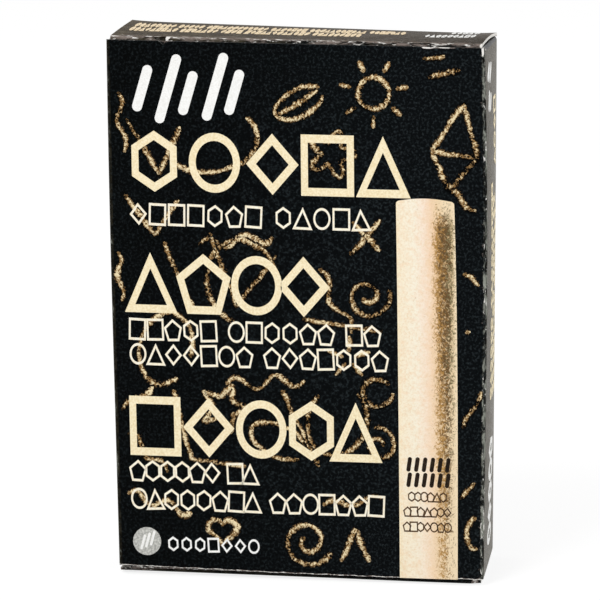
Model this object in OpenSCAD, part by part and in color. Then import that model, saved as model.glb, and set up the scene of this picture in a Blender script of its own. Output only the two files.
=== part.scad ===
// Tuck-end carton of chalk sticks, in millimetres.
// One folded and glued card sleeve, a hinged lid with a tuck flap at each end,
// and two nested rows of sticks that stand inside. The carton is sized round
// its sticks. It stands on its bottom lid: +Z is up, the front faces -Y, and
// the origin lies under the middle of the carton.

/* [Chalk sticks] */
// Diameter of a stick at its lower end
stick_d = 9; // [8:0.1:10.5]
// How much thinner a stick is at its upper end
stick_taper = 0.2; // [0:0.05:0.6]
// Length of a stick
stick_len = 82.5; // [60:0.5:100]
// Radius of the rounded edge at each end of a stick
stick_edge_r = 1.2; // [0.4:0.1:2]
// Sticks in each of the two rows
row_sticks = 6; // [4:1:9]
// Gap between sticks that stand side by side
stick_gap = 0.03; // [0.02:0.01:0.2]

/* [Card] */
// Thickness of the card
card_t = 0.45; // [0.3:0.05:0.6]
// Inside radius of a fold
fold_r = 0.15; // [0.1:0.05:0.3]
// Width of the glue tab inside the left panel
glue_tab_w = 10; // [6:0.5:13]
// How far each end of the glue tab slants back towards its free edge
glue_tab_slant = 4; // [1:0.5:8]
// How far the glued panel's raw edge stops short of the back
seam_step = 0.3; // [0.1:0.1:1]

/* [Room inside] */
// Free width beside the two rows
side_room = 0.15; // [0.05:0.05:2]
// Gap between the front row and the tuck flaps
row_room = 0.4; // [0.3:0.05:2]
// Gap between the back row and the back panel
back_room = 0.05; // [0.02:0.01:1]
// Free height over the sticks that stand on the dust flaps
head_room = 3.05; // [1:0.05:3.5]

/* [Lids and tuck flaps] */
// How far each end of a lid stops short of the side panels
lid_inset = 0.5; // [0.2:0.1:1.5]
// Gap between the front panel and a tuck flap
tuck_slip = 0.55; // [0.45:0.05:1]
// Length of a tuck flap, from the lid's outer face to its free edge
tuck_len = 9; // [6:0.5:11]
// How far each side of a tuck flap stops short of its lid's end
tuck_inset = 1.2; // [0.8:0.1:3]
// Radius of a tuck flap's free corners
tuck_corner_r = 4; // [1:0.5:6]
// Height of the top lid's face over the front panel's cut edge
front_drop = 0.5; // [0.3:0.05:1.5]
// Height of the front panel's lower cut edge over the standing face
front_rise = 0.9; // [0.6:0.05:2]

/* [Dust flaps] */
// Length of a dust flap, from the outside of its side panel
dust_len = 16; // [8:0.5:20]
// Gap between a tuck flap and the dust flap's front edge
dust_front_gap = 0.5; // [0.3:0.05:2]
// Gap between the back panel and the dust flap's back edge
dust_back_gap = 0.5; // [0.2:0.05:2]
// Size of the slanted shoulder at the back of the dust flap's base
dust_shoulder = 2.5; // [0.5:0.25:5]
// Radius of a dust flap's free corners
dust_corner_r = 2; // [0.5:0.25:3]

/* [Hidden] */
$fn = 48;

// Pitch of the sticks and of the two nested rows
pitch = stick_d + stick_gap;
row_pitch = pitch * sqrt(3) / 2;
rows_w = (row_sticks + 0.5) * pitch - stick_gap;
rows_d = row_pitch + stick_d;

// Outside size of the closed carton
carton_w = rows_w + side_room + 3 * card_t;
carton_d = rows_d + back_room + row_room + tuck_slip + 3 * card_t;
carton_h = stick_len + head_room + 4 * card_t;
half_w = carton_w / 2;
half_d = carton_d / 2;

// A fold's outside radius, and where the side panels fold into the dust flaps
fold_out = fold_r + card_t;
side_rise = card_t + fold_out;

// Faces of the tuck flaps, of the dust flaps' base and of the lids
tuck_y = -half_d + card_t + tuck_slip;
dust_y0 = tuck_y + card_t + dust_front_gap;
dust_y1 = half_d - card_t - dust_back_gap;
lid_half_w = half_w - lid_inset;
tuck_half_w = lid_half_w - tuck_inset;
tuck_r = min(tuck_corner_r, tuck_len - fold_out - card_t);

// Centre of the first stick of the back row
first_x = -half_w + 2 * card_t + side_room / 2 + stick_d / 2;
back_row_y = half_d - card_t - back_room - stick_d / 2;
front_row_y = back_row_y - row_pitch;

card_colour = [0.05, 0.07, 0.08];
lid_colour = [0.16, 0.15, 0.14];
tuck_colour = [0.55, 0.54, 0.51];
chalk_colour = [0.93, 0.88, 0.76];

stick_count = 2 * row_sticks;
function stick_name(i) = str("chalk_stick_", i < 9 ? "0" : "", i + 1);

// Quarter ring of a fold about the origin, in the quadrant of the two signs
module fold_section(x_sign, y_sign) {
    intersection() {
        difference() {
            circle(r = fold_out);
            circle(r = fold_r);
        }
        translate([min(0, x_sign) * fold_out, min(0, y_sign) * fold_out])
            square(fold_out);
    }
}

// Outline of a dust flap from x = 0 at its fold: a slanted shoulder at the back
// of its base, and two rounded corners at its free end
module dust_outline() {
    length = dust_len - fold_out;
    end_y = dust_y1 - dust_shoulder;
    difference() {
        polygon([
            [0, dust_y0],
            [length, dust_y0],
            [length, end_y],
            [dust_shoulder, end_y],
            [0, dust_y1]
        ]);
        translate([length - dust_corner_r, dust_y0])
            corner_waste(dust_corner_r, -1);
        translate([length - dust_corner_r, end_y])
            corner_waste(dust_corner_r, 1);
    }
}

// What is cut off to round a corner: a square less its quarter circle
module corner_waste(r, y_sign) {
    difference() {
        translate([0, y_sign > 0 ? -r : -1])
            square([r + 1, r + 1]);
        translate([0, -y_sign * r])
            circle(r = r);
    }
}

// Front panel and its two folds, seen from above
module front_section() {
    translate([-half_w + fold_out, -half_d])
        square([carton_w - 2 * fold_out, card_t]);
    for (side = [-1, 1])
        translate([side * (half_w - fold_out), -half_d + fold_out])
            fold_section(side, -1);
}

// Back panel with the fold to the right panel and the fold to the glue tab
module back_section() {
    tab_fold_x = -half_w + card_t + fold_out;
    translate([tab_fold_x, half_d - card_t])
        square([half_w - fold_out - tab_fold_x, card_t]);
    translate([tab_fold_x, half_d - fold_out])
        fold_section(-1, 1);
    translate([half_w - fold_out, half_d - fold_out])
        fold_section(1, 1);
}

// Side panels: the left one laps over the glue tab and ends in a raw edge
module side_sections() {
    panel_y = -half_d + fold_out;
    translate([half_w - card_t, panel_y])
        square([card_t, carton_d - 2 * fold_out]);
    translate([-half_w, panel_y])
        square([card_t, half_d - seam_step - panel_y]);
}

// Glue tab, folded from the back panel to lie inside the left panel
module glue_tab() {
    fold_y = half_d - fold_out;
    low = side_rise;
    high = carton_h - side_rise;
    translate([-half_w + card_t, 0, 0])
        rotate([90, 0, 90])
            linear_extrude(card_t)
                polygon([
                    [fold_y, low],
                    [fold_y, high],
                    [fold_y - glue_tab_w, high - glue_tab_slant],
                    [fold_y - glue_tab_w, low + glue_tab_slant]
                ]);
}

// One dust flap at the top right, with its fold
module dust_flap() {
    fold_x = half_w - fold_out;
    fold_z = carton_h - side_rise;
    translate([fold_x, dust_y1, fold_z])
        rotate([90, 0, 0])
            linear_extrude(dust_y1 - dust_y0)
                fold_section(1, 1);
    translate([fold_x, 0, fold_z + fold_r])
        mirror([1, 0, 0])
            linear_extrude(card_t)
                dust_outline();
}

// The folded and glued sleeve with its four dust flaps
module carton() {
    color(card_colour) {
        translate([0, 0, front_rise])
            linear_extrude(carton_h - front_drop - front_rise)
                front_section();
        translate([0, 0, side_rise])
            linear_extrude(carton_h - 2 * side_rise)
                side_sections();
        translate([0, 0, side_rise])
            linear_extrude(carton_h - 2 * side_rise)
                back_section();
        // the back panel runs on to the lids' hinge folds
        translate([-lid_half_w, half_d - card_t, fold_out])
            cube([2 * lid_half_w, card_t, carton_h - 2 * fold_out]);
        glue_tab();
        for (x_side = [0, 1], end = [0, 1])
            mirror([x_side, 0, 0])
                translate([0, 0, end * carton_h])
                    mirror([0, 0, end])
                        dust_flap();
    }
}

// Bottom lid, from its hinge fold at the back to the fold of its tuck flap
module lid_panel() {
    section_back = half_d - fold_out;
    section_front = tuck_y + fold_out;
    rotate([90, 0, 90])
        linear_extrude(2 * lid_half_w, center = true) {
            translate([section_front, 0])
                square([section_back - section_front, card_t]);
            translate([section_front, fold_out])
                fold_section(-1, -1);
            translate([section_back, fold_out])
                fold_section(1, -1);
        }
}

// Bottom tuck flap, standing behind the front panel on the bottom lid's fold
module tuck_flap() {
    flap_h = tuck_len - fold_out;
    translate([0, tuck_y + card_t, fold_out])
        rotate([90, 0, 0])
            linear_extrude(card_t)
                difference() {
                    translate([-tuck_half_w, 0])
                        square([2 * tuck_half_w, flap_h]);
                    for (side = [0, 1])
                        mirror([side, 0])
                            translate([tuck_half_w - tuck_r, flap_h])
                                corner_waste(tuck_r, 1);
                }
}

// Turns a piece of the bottom closure into the same piece of the top one
module at_top() {
    translate([0, 0, carton_h])
        mirror([0, 0, 1])
            children();
}

module top_lid() {
    color(lid_colour)
        at_top()
            lid_panel();
}

module bottom_lid() {
    color(lid_colour)
        lid_panel();
}

module top_tuck_flap() {
    color(tuck_colour)
        at_top()
            tuck_flap();
}

module bottom_tuck_flap() {
    color(tuck_colour)
        tuck_flap();
}

// Half of a stick's outline: tapered, with a rounded edge at each end
module stick_section() {
    r = stick_d / 2;
    top_r = r - stick_taper / 2;
    e = stick_edge_r;
    polygon([
        [0, 0],
        [r - e, 0],
        [r, e],
        [top_r, stick_len - e],
        [top_r - e, stick_len],
        [0, stick_len]
    ]);
    translate([r - e, e])
        circle(r = e);
    translate([top_r - e, stick_len - e])
        circle(r = e);
}

// Stick number i: the back row from left to right, then the front row,
// which stands half a stick further right. A stick over a dust flap stands on
// the flap, and the others stand on the bottom lid.
module chalk_stick(i) {
    front = i >= row_sticks;
    x = first_x + (i % row_sticks + (front ? 0.5 : 0)) * pitch;
    y = front ? front_row_y : back_row_y;
    on_flap = abs(x) + stick_d / 2 > half_w - dust_len;
    color(chalk_colour)
        translate([x, y, on_flap ? 2 * card_t : card_t])
            rotate_extrude()
                stick_section();
}

carton();
top_lid();
top_tuck_flap();
bottom_lid();
bottom_tuck_flap();
for (i = [0 : stick_count - 1])
    chalk_stick(i);
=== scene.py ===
import math
from functools import partial, reduce

import bpy
import numpy as np
from bpy.props import FloatProperty, FloatVectorProperty, IntProperty, PointerProperty
from mathutils import Matrix, Vector


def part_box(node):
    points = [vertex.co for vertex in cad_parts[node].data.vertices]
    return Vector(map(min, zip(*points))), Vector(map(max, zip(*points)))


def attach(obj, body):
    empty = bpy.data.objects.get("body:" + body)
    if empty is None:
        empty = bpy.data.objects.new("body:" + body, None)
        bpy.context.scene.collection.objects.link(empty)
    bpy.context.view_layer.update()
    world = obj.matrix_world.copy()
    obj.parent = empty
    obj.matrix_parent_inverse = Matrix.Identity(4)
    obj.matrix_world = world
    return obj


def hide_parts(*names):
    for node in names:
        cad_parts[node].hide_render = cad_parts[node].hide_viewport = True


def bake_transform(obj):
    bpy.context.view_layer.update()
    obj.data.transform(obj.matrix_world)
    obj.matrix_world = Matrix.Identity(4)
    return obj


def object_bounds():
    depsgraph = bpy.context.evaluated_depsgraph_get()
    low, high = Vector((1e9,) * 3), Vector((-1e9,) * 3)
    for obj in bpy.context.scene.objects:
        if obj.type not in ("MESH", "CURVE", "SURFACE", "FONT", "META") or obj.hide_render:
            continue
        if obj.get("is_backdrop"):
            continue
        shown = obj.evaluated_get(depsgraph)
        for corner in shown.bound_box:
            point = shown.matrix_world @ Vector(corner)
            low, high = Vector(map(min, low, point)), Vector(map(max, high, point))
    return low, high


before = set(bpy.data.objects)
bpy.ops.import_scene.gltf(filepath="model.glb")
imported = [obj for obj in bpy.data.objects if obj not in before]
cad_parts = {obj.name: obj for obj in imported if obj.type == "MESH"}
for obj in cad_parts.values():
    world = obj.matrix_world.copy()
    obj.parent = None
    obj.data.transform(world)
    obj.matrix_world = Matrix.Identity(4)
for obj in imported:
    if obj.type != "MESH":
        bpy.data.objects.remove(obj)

bl_info = {
    "name": "Printed Chalk Box",
    "version": (1, 0, 0),
    "blender": (4, 5, 0),
    "location": "3D View > Sidebar > Chalk Box",
    "description": "Builds a tuck-end card carton with its print and its twelve sticks",
    "category": "Object",
}

MM = 0.001
STICKS = [name for name in sorted(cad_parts) if name.startswith("chalk_stick")]
FRONT_RISE, FRONT_DROP = 0.9, 0.5  # from the lids' faces to the front panel's cut edges, mm


# ---- settings --------------------------------------------------------------


def linear(code):
    """An sRGB hex colour as three linear numbers."""
    parts = [int(code[i : i + 2], 16) / 255 for i in (1, 3, 5)]
    return tuple(c / 12.92 if c <= 0.04045 else ((c + 0.055) / 1.055) ** 2.4 for c in parts)


def length(name, description, size):
    """A length setting, given in metres and never negative."""
    return FloatProperty(
        name=name, description=description, default=size, min=0.0, precision=5, unit="LENGTH"
    )


def colour(name, description, code):
    """A colour setting from an sRGB hex value."""
    limits = {"size": 3, "min": 0.0, "max": 1.0, "subtype": "COLOR"}
    return FloatVectorProperty(name=name, description=description, default=linear(code), **limits)


SLEEVE_LOW, SLEEVE_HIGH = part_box("carton")
LID_LOW, LID_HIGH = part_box("top_lid")
FLAP_LOW, FLAP_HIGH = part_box("top_tuck_flap")
STICK_LOW, STICK_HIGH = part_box(STICKS[0])


class CartonSizes(bpy.types.PropertyGroup):
    """Sizes of the folded card"""

    width: length("Width", "Outside width of the front panel", SLEEVE_HIGH.x - SLEEVE_LOW.x)
    depth: length("Depth", "Outside width of a side panel", SLEEVE_HIGH.y - SLEEVE_LOW.y)
    height: length("Height", "From the bottom lid's face to the top lid's face", LID_HIGH.z)
    card: length("Card", "Thickness of the card", FLAP_HIGH.y - FLAP_LOW.y)
    fold: length("Fold Radius", "Outside radius of a fold", LID_HIGH.z - LID_LOW.z)
    lid_width: length("Lid Width", "Width of a lid", LID_HIGH.x - LID_LOW.x)
    tuck_width: length("Tuck Width", "Width of a tuck flap", FLAP_HIGH.x - FLAP_LOW.x)
    tuck_length: length(
        "Tuck Length", "From the lid's face to the tuck flap's free edge", LID_HIGH.z - FLAP_LOW.z
    )
    tuck_corner: length("Tuck Corner", "Radius of a tuck flap's free corners", 4 * MM)
    dust_length: length("Dust Flap", "Length of a dust flap from outside the carton", 16 * MM)
    bulge: length("Bulge", "How far the wide panels stand out at their middle", 0.25 * MM)


class StickSizes(bpy.types.PropertyGroup):
    """Sizes of the chalk sticks"""

    diameter: length("Diameter", "Diameter at the lower end", STICK_HIGH.x - STICK_LOW.x)
    taper: length("Taper", "How much thinner the upper end is", 0.2 * MM)
    length: length("Length", "Length of a stick", STICK_HIGH.z - STICK_LOW.z)
    edge: length("Edge Radius", "Radius of the rounded end edges", 1.2 * MM)
    rough: length("Roughness Depth", "Depth of the pressed surface's hollows", 0.03 * MM)
    seed: IntProperty(name="Seed", description="Start of the surface noise", default=4, min=0)


class PrintSettings(bpy.types.PropertyGroup):
    """Colours and strokes of the print"""

    black: colour("Black", "Printed ground of the card", "#010202")
    cream: colour("Cream", "Large and small cream figures", "#FFF2D0")
    white: colour("White", "Pure white print", "#FDFDFB")
    ochre: colour("Ochre", "Middle tone of the drawn chalk strokes", "#937145")
    ochre_light: colour("Light Ochre", "Bright grains of the drawn chalk strokes", "#F0DEB4")
    board: colour("Board", "Unprinted inner face of the card", "#C9C5BC")
    chalk: colour("Chalk", "Pressed ivory chalk", "#F1E7CC")
    stroke: length("Stroke", "Stroke width of the large figures", 1.3 * MM)
    fine_stroke: length("Fine Stroke", "Stroke width of the small figures", 0.4 * MM)
    chalk_stroke: length("Chalk Stroke", "Width of the drawn chalk strokes", 1.2 * MM)
    seed: IntProperty(name="Seed", description="Order of the small figures", default=12, min=0)


class StageSettings(bpy.types.PropertyGroup):
    """Light and camera"""

    lens: FloatProperty(name="Lens", description="Focal length", default=214.38, min=1.0)
    ambient: FloatProperty(name="Ambient", description="Light from all round", default=0.55)
    key: FloatProperty(name="Key", description="Power of the key light in watts", default=5.3)
    fill: FloatProperty(name="Fill", description="Power of the fill light in watts", default=3.4)


class Carton:
    """Sizes of the closed carton in mm, its print, and how its panels give a little."""

    def __init__(self, context):
        sizes, self.ink = context.scene.chalk_box_sizes, context.scene.chalk_box_print
        self.w, self.d, self.h = sizes.width / MM, sizes.depth / MM, sizes.height / MM
        self.hw, self.hd = self.w / 2, self.d / 2
        self.t, self.fo = sizes.card / MM, sizes.fold / MM
        self.fi = self.fo - self.t
        self.lid = sizes.lid_width / MM / 2
        self.tuck = sizes.tuck_width / MM / 2
        self.tuck_len, self.tuck_r = sizes.tuck_length / MM, sizes.tuck_corner / MM
        self.tuck_y = FLAP_LOW.y / MM
        self.dust = sizes.dust_length / MM
        self.bulge = sizes.bulge / MM
        self.side_low = self.t + self.fo
        self.side_high = self.h - self.side_low
        self.front_low, self.front_high = FRONT_RISE, self.h - FRONT_DROP
        self.stroke, self.fine = self.ink.stroke / MM, self.ink.fine_stroke / MM

    def shares(self, p):
        """Where points lie across, along and up the carton, each from 0 to 1."""
        u = (p[..., 0] + self.hw) / self.w
        v = (p[..., 1] + self.hd) / self.d
        return u, v, p[..., 2] / self.h

    def rack(self, p):
        """A handled carton stands slightly out of square."""
        u, v, t = self.shares(p)
        q = p.copy()
        q[..., 0] += (0.48 * (1 - u) - 0.05 * u) * (1 - t) + (0.04 * t - 0.44 * (1 - t)) * v
        q[..., 2] += t * (0.42 * v * (1 - 2 * u) - 0.22 * v + 0.45 * (1 - u) - 0.24 * u)
        q[..., 2] += 0.24 * t * v * abs(np.clip(2 * u - 1, -1, 1)) ** 12
        return q

    def bow(self, p):
        """Panels of a filled carton stand out a little between their folds."""
        u, v, t = self.shares(p)
        u, t = np.clip(2 * u - 1, -1, 1), np.clip(t, 0, 1)
        middle = 1 - (2 * t - 1) ** 4
        crease = np.sin(np.pi * t**1.45) * (1 - v)
        q = p.copy()
        q[..., 1] += self.bulge * (1 - u**2) * middle * (v**2 - (1 - v) ** 2)
        q[..., 0] += 1.2 * self.bulge * 4 * v * (1 - v) * middle * u**3
        q[..., 0] += crease * (0.45 * np.maximum(0, u) ** 2 - 0.15 * np.maximum(0, -u) ** 2)
        return q

    def lift(self, p):
        """The top lid springs up between its folds, most of all at its right edge."""
        u, v, _ = self.shares(p)
        span = (p[..., 1] - (self.tuck_y + self.fo)) / (self.hd - self.tuck_y - 2 * self.fo)
        right = np.clip(2 * u - 1, 0, 1)
        q = p.copy()
        q[..., 2] += (0.07 + 0.32 * right**4) * np.sin(np.pi * np.clip(span, 0, 1))
        q[..., 0] += (0.62 * v - 0.08) * right**6
        return q

    def sag(self, p):
        """How far the bottom lid's front edge hangs below its back edge, most under the right
        half."""
        u, v, _ = self.shares(p)
        along = np.interp(u, (0.05, 0.3, 0.6, 0.8, 0.96, 1.0), (0.0, 0.08, 0.2, 0.32, 0.34, 0.12))
        return along * np.clip(1.06 - 1.1 * v, 0, 1) ** 1.5

    def placed(self, panel, p):
        """Points given across, up and out of a panel, in their place on the carton."""
        a, b, out = np.moveaxis(p, -1, 0)
        if panel == "lid":
            return self.rack(self.lift(np.stack([a, b, self.h + out], -1)))
        places = {
            "front": [a, -self.hd - out, b],
            "back": [-a, self.hd + out, b],
            "right": [self.hw + out, a, b],
            "left": [-self.hw - out, -a, b],
        }
        return self.rack(self.bow(np.stack(places[panel], -1)))


# ---- mesh tools ------------------------------------------------------------

SHARP_FROM = math.radians(42)  # edges that turn more than this stay sharp
# kinds of face of the card, in the order of a piece's finishes
OUTSIDE, INSIDE, RIM, SIDE, BENT, SHADED_RIM = range(6)


def points(x, y, z):
    """A grid of points from coordinates that repeat where they don't change."""
    return np.stack(np.broadcast_arrays(x, y, z), -1).astype(float)


def most(*grids):
    """The greatest of several grids at each of their points."""
    return reduce(np.maximum, grids)


def near(distance, reach):
    """1 up to a distance of 0, and less and less beyond it."""
    return np.exp(-np.maximum(distance, 0) / reach)


def slab(outer, inner, wear=0.0, outside=OUTSIDE):
    """A closed sheet of card between two grids of points, with a kind for each of its faces.
    Wear marks how rubbed its outer face is."""
    n, m = outer.shape[:2]
    o = np.arange(n * m).reshape(n, m)
    i = o + n * m
    front = np.stack([o[:-1, :-1], o[1:, :-1], o[1:, 1:], o[:-1, 1:]], -1).reshape(-1, 4)
    rims = [
        (o[1:, 0], o[:-1, 0], i[:-1, 0], i[1:, 0]),
        (o[:-1, -1], o[1:, -1], i[1:, -1], i[:-1, -1]),
        (o[0, :-1], o[0, 1:], i[0, 1:], i[0, :-1]),
        (o[-1, 1:], o[-1, :-1], i[-1, :-1], i[-1, 1:]),
    ]
    rim = np.concatenate([np.stack(r, -1) for r in rims])
    spots = np.concatenate([outer.reshape(-1, 3), inner.reshape(-1, 3)])
    faces = np.concatenate([front, front[:, ::-1] + n * m, rim])
    kinds = np.repeat([OUTSIDE, INSIDE, RIM], [len(front), len(front), len(rim)])
    kinds[: len(front)] = np.broadcast_to(outside, (n - 1, m - 1)).ravel()
    a, b, c, d = np.moveaxis(spots[faces], 1, 0)
    if (a * (np.cross(b, c) + np.cross(c, d))).sum() < 0:
        faces = faces[:, ::-1]
    worn = np.concatenate([np.broadcast_to(wear, (n, m)).ravel(), np.zeros(n * m)])
    return {"points": spots, "faces": faces, "kinds": kinds, "wear": worn}


def joined(parts):
    """Several sheets as one set of points and faces."""
    start = np.cumsum([0] + [len(p["points"]) for p in parts[:-1]])
    moved = [{**p, "faces": p["faces"] + s} for p, s in zip(parts, start)]
    return {key: np.concatenate([p[key] for p in moved]) for key in parts[0]}


def mark(mesh, name, values, kind="FLOAT"):
    """Stores a value at each point of a mesh."""
    layer = mesh.attributes.new(name, kind, "POINT")
    layer.data.foreach_set("value", values.astype(np.int32 if kind == "INT" else np.float32))


def show(name, data):
    """A new object in the scene, from its mesh, light or camera."""
    made = bpy.data.objects.new(name, data)
    bpy.context.scene.collection.objects.link(made)
    return made


def card_piece(k, name, part, *finishes):
    """An object in metres from points in mm, smooth over its folds and sharp at cut edges."""
    mesh = bpy.data.meshes.new(name)
    mesh.from_pydata((part["points"] * MM).tolist(), [], part["faces"].tolist())
    for key in finishes:
        mesh.materials.append(finish(k, key))
    mesh.polygons.foreach_set("material_index", part["kinds"].astype(np.int32))
    mark(mesh, "wear", part["wear"])
    mesh.set_sharp_from_angle(angle=SHARP_FROM)
    mesh.validate()
    return show(name, mesh)


def ridden(piece, body="box", slot="printed_card", *nodes):
    """Puts a finished piece on its body and hides the parts that it stands for. The slot is not
    used.
    """
    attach(piece, body)
    if nodes:
        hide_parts(*nodes)
    return piece


# ---- nodes -----------------------------------------------------------------

PREFIXES = ("ShaderNode", "GeometryNode", "FunctionNode", "")
# settings that every node of a kind shares here
USUAL = {"Mix": {"data_type": "RGBA"}, "MapRange": {"interpolation_type": "SMOOTHSTEP"}}


def add(tree, kind, *values, out=None, **named):
    """Adds a node and returns one of its outputs: the first, or the one that out names. Values
    fill its inputs in order, and names with a capital fill the inputs of those names. Other
    names are settings. A list links several outputs to one input, and a colour is a hex value or
    three numbers. A kind in capitals is an operation of the maths node."""
    settings = {key: value for key, value in named.items() if key.islower()}
    settings |= {"operation": kind} if kind.isupper() else USUAL.get(kind, {})
    kind = "Math" if kind.isupper() else kind
    made = tree.nodes.new(next(p + kind for p in PREFIXES if hasattr(bpy.types, p + kind)))
    for key, value in settings.items():
        setattr(made, key, value)
    sockets = [s for s in made.inputs if s.enabled]
    by_name = {s.name.replace(" ", "_"): s for s in sockets}
    filled = list(zip(sockets, values))
    filled += [(by_name[key], value) for key, value in named.items() if key not in settings]
    for socket, value in filled:
        for one in value if isinstance(value, list) else [value]:
            if isinstance(one, bpy.types.NodeSocket):
                tree.links.new(one, socket)
            elif socket.type == "RGBA":
                one = linear(one) if isinstance(one, str) else one
                socket.default_value = (*one, 1.0)
            else:
                socket.default_value = one
    return next((s for s in made.outputs if s.enabled and out in (None, s.name)), None)


def finish_of(name):
    """An empty material, and the function that adds its nodes."""
    material = bpy.data.materials.new(name)
    material.use_nodes = True
    material.node_tree.nodes.clear()
    return material, partial(add, material.node_tree)


def sized(width):
    """The scale of a noise whose features are this many mm wide."""
    return 1 / (width * MM)


# ---- finishes --------------------------------------------------------------
#
# Each function adds the nodes of one finish and returns its shader. The function node adds one
# node to the material, place is where a point lies, and ink holds the settings of the print.

VARNISH = 0.028  # specular level of a thin matt varnish
WARM = "#E6D3A4"  # what a varnished board turns to at a grazing view


def black_board(
    node,
    place,
    ink,
    varnish=VARNISH,
    haze=0.0,
    dirt_and_sheen=0.0,
    relief=0.012,
    tint=WARM,
    drag=(0.62, 1, 1),
    bruise="#80756F",
):
    """Folding boxboard, offset printed in one deep black and sealed with thin varnish. Face on
    the varnish hardly shows, and at a grazing view it turns a soft grey. The ink lies slightly
    mottled, and it has rubbed off to grey-pink board and white fibres at folds and edges. Where
    hands rub the varnish it carries a warm haze, which shows at a grazing view. A smeared warm
    colour over the ink, stronger towards the left, is partly a thin film of dirt and partly
    painted sheen for the grazing glare. The relief of the varnish is in mm. Rubbed patches have
    the colour of the bruise, and drag draws them out along the folds."""
    worn = node("Attribute", attribute_name="wear", out="Fac")
    mottle = node("MapRange", node("TexNoise", place, sized(2.2), 4.0, 0.6), 0.3, 0.75)
    ground = node("Mix", mottle, ink.black, "#020405")
    # the ink runs a little thinner towards the right of the sheet
    along = node("MapRange", node("SeparateXYZ", place), -26 * MM, 26 * MM)
    ground = node("Mix", along, ground, "#05080A")
    # specks of board that show through the ink, 0.4 mm and finer
    speck = node("MapRange", node("TexNoise", place, sized(0.42), 3.0, 0.6), 0.47, 0.72)
    speck = node("MULTIPLY", speck, node("MULTIPLY_ADD", along, 0.4, 0.4))
    ground = node("Mix", speck, ground, "#2A3134")
    if dirt_and_sheen:
        # the dirt and painted sheen: smears of about 1 mm, longer along the panel's width
        smear = node("Mapping", place, Scale=(0.5, 1.0, 0.6))
        smear = node("MapRange", node("TexNoise", smear, sized(0.9), 5.0, 0.68), 0.37, 0.67)
        smear = node("MULTIPLY", smear, dirt_and_sheen)
        # more of it towards the left: painted sheen where a grazing view shows the board lighter
        # and warmer
        smear = node("MULTIPLY", smear, node("MULTIPLY_ADD", along, -1.3, 1.5))
        ground = node("Mix", smear, ground, "#8A8068")
    drawn = node("Mapping", place, Scale=drag)
    # rubbed ink: patches 0.8 mm wide that grow with the wear
    patch = node("TexNoise", drawn, sized(0.8), 5.0, 0.68, Distortion=0.5)
    rubbed = node("MapRange", node("ADD", patch, node("MULTIPLY", worn, 0.44)), 0.72, 0.9)
    ground = node("Mix", rubbed, ground, bruise)
    # torn fibres: drawn out one way, 0.3 mm wide, and only where wear is strong
    fibre = node("TexNoise", drawn, sized(0.34), 3.0, 0.6, Distortion=0.6)
    bare = node("MapRange", node("ADD", fibre, node("MULTIPLY", worn, 0.4)), 0.83, 0.95)
    ground = node("Mix", bare, ground, "#F0EDE8")
    gloss = node("MULTIPLY_ADD", node("TexNoise", place, sized(1.4), 3.0), 0.16, 0.2)
    gloss = node("MULTIPLY_ADD", rubbed, 0.3, gloss, use_clamp=True)
    wave = node("TexNoise", place, sized(5.0))
    ripple = node("TexNoise", place, sized(1.2), 3.0, 0.6)
    tooth = node("TexNoise", place, sized(0.24), 3.0, 0.55)
    height = node("MULTIPLY_ADD", ripple, 3.0, node("MULTIPLY_ADD", wave, 6.0, tooth))
    return node(
        "BsdfPrincipled",
        ground,
        Roughness=gloss,
        Specular_IOR_Level=varnish,
        Sheen_Weight=haze,
        Sheen_Roughness=0.5,
        Sheen_Tint=tint,
        Normal=node("Bump", 0.35, relief * MM, Height=height),
    )


def grey_board(node, place, ink):
    """The card's unprinted inner face: matt recycled greyboard, with short darker and lighter
    fibres of about 1 mm pressed flat into it."""
    cloud = node("MapRange", node("TexNoise", place, sized(3.5), 4.0), 0.3, 0.7)
    fibre = node("Mapping", place, Scale=(1.0, 1.0, 0.3))
    fibre = node("TexNoise", fibre, sized(0.28), 4.0, 0.65, Distortion=0.8)
    base = node("Mix", cloud, ink.board, "#BDB7AA")
    base = node("Mix", node("MapRange", fibre, 0.58, 0.75), base, "#A39B8C")
    base = node("Mix", node("MapRange", fibre, 0.4, 0.25), base, "#DDDAD2")
    bump = node("Bump", 0.5, 0.02 * MM, Height=fibre)
    matt = {"Roughness": 0.88, "Specular_IOR_Level": 0.25}
    return node("BsdfPrincipled", base, Normal=bump, **matt)


def cut_edge(node, place, ink, spots_from=0.66, spots_full=0.8):
    """Die-cut edge of the board: three plies of pressed fibre, a pale grey that is dusty and
    quite matt, with dark spots where ink has crept over. How many spots there are is set by
    spots_from and spots_full; where they cover most of the edge they are partly painted shade."""
    ply = node("TexNoise", place, sized(0.3), 4.0, 0.7)
    base = node("Mix", node("MapRange", ply, 0.35, 0.7), "#D6D3CC", "#FCFAF6")
    crept = node("TexNoise", place, sized(0.9), 3.0)
    base = node("Mix", node("MapRange", crept, spots_from, spots_full), base, "#303130")
    bump = node("Bump", 0.6, 0.03 * MM, Height=ply)
    matt = {"Roughness": 0.92, "Specular_IOR_Level": 0.2}
    return node("BsdfPrincipled", base, Normal=bump, **matt)


def printed_ink(node, place, ink, shade, faint):
    """Opaque ink under the same thin varnish: even, with a faint mottle from the board's
    fibres."""
    mottle = node("MapRange", node("TexNoise", place, sized(0.32), 3.0, 0.6), 0.32, 0.7)
    base = node("Mix", mottle, getattr(ink, shade, shade), faint)
    tooth = node("TexNoise", place, sized(0.24), 3.0, 0.55)
    bump = node("Bump", 0.3, 0.012 * MM, Height=tooth)
    satin = {"Roughness": 0.42, "Specular_IOR_Level": VARNISH}
    return node("BsdfPrincipled", base, Normal=bump, **satin)


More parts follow.
